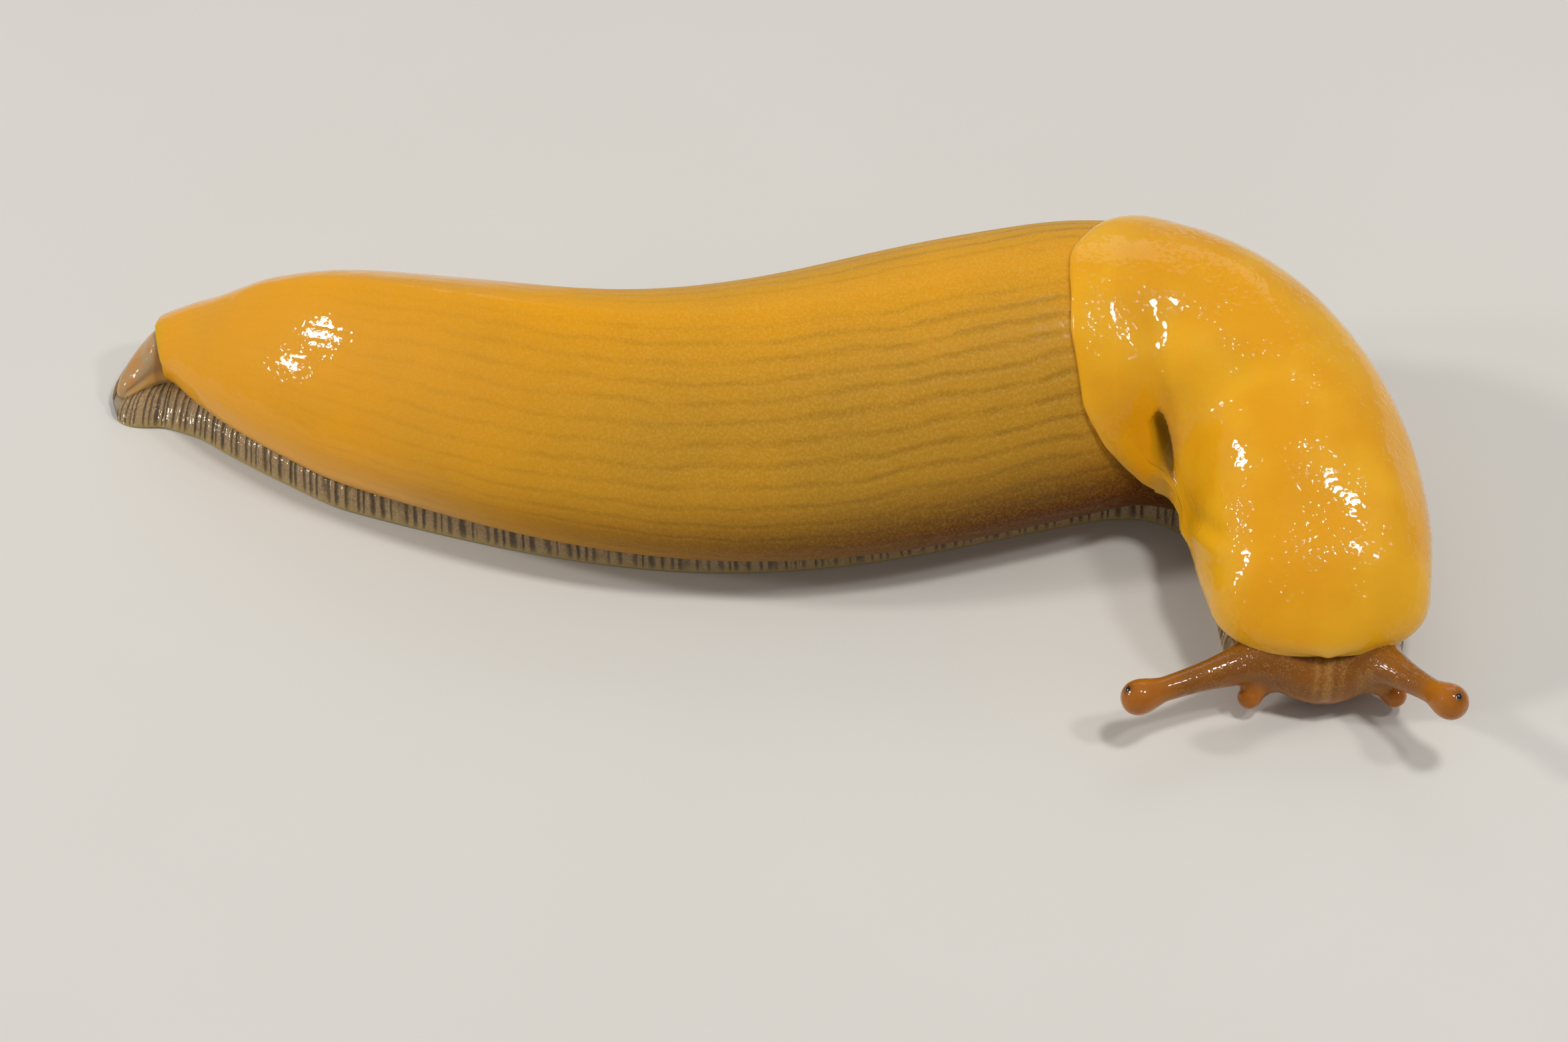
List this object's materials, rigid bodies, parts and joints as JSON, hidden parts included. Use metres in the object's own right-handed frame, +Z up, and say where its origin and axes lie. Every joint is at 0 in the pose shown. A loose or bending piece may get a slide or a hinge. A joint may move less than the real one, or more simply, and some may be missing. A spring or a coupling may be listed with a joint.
{
  "type": "banana slug model",
  "caption": "Life-size crawling slug with a smooth mantle shield, keeled furrowed back, striped foot fringe, stalked eyes and its head turned to its right.",
  "frame": {"origin": "middle of the bounding box, on the floor under the sole", "axes": "+X from the tail towards the head end along the body's longest reach, -Y the way the head faces, +Z up"},
  "size_m": [0.1295, 0.059, 0.0266],
  "materials": {
    "yellow_skin": "wet gloss",
    "mantle_skin": "wet gloss",
    "foot_fringe": "wet gloss, upright grey bars",
    "head_skin": "wet, slightly see-through",
    "eye_black": "polished",
    "gland_flesh": "wet gloss"
  },
  "bodies": {
    "root": {"foot_tail": "foot_fringe", "foot_middle": "foot_fringe", "foot_front": "foot_fringe", "tail": "yellow_skin", "trunk_rear": "yellow_skin", "trunk_front": "yellow_skin", "neck": "yellow_skin", "mantle": "mantle_skin", "head": "head_skin", "tentacle_upper_left": "head_skin", "tentacle_upper_right": "head_skin", "tentacle_lower_left": "head_skin", "tentacle_lower_right": "head_skin", "eye_left": "eye_black", "eye_right": "eye_black", "tail_gland": "gland_flesh"}
  },
  "joints": []
}
